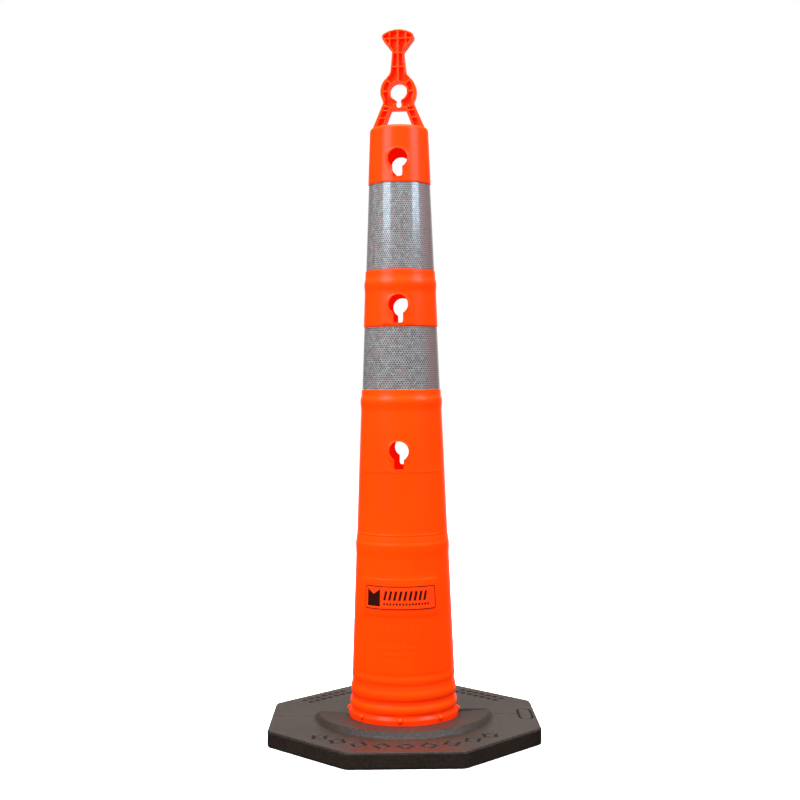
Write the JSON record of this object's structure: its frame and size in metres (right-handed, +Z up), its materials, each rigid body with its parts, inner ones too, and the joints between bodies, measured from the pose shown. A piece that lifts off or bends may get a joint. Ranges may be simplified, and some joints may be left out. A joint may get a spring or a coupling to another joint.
{
  "type": "traffic cone",
  "caption": "Tall hollow channelizer cone with a ribbed grab handle, keyholes, reflective collars and an octagonal rubber base that opens in halves.",
  "frame": {"origin": "centre of the shaft's axis on the floor under the base", "axes": "+Z up along the shaft's axis; the keyholes and the flat handle face along Y; the base is turned 4.5 degrees about Z at rest, as it stands in the picture"},
  "size_m": [0.4862, 0.4862, 1.248],
  "materials": {
    "orange_plastic": "satin moulded polyethylene",
    "reflective_sheeting": "prismatic sheeting with a honeycomb of cells",
    "printed_film": "matt dark print",
    "base_rubber": "matt recycled rubber"
  },
  "bodies": {
    "base_front": {"base_front_half": "base_rubber"},
    "base_rear": {"base_rear_half": "base_rubber"},
    "cone": {"cone_shaft": "orange_plastic", "grab_handle": "orange_plastic", "upper_reflective_band": "reflective_sheeting", "lower_reflective_band": "reflective_sheeting", "printed_panel": "printed_film"}
  },
  "joints": [
    {"name": "foot_swivel", "type": "hinge", "parent": "base_front", "child": "cone", "pos_m": [0, 0, 0], "axis": [0, 0, 1], "continuous": true},
    {"name": "base_opening", "type": "slide", "parent": "base_front", "child": "base_rear", "axis": [-0.0785, 0.9969, 0], "range_m": [0, 0.2]}
  ]
}
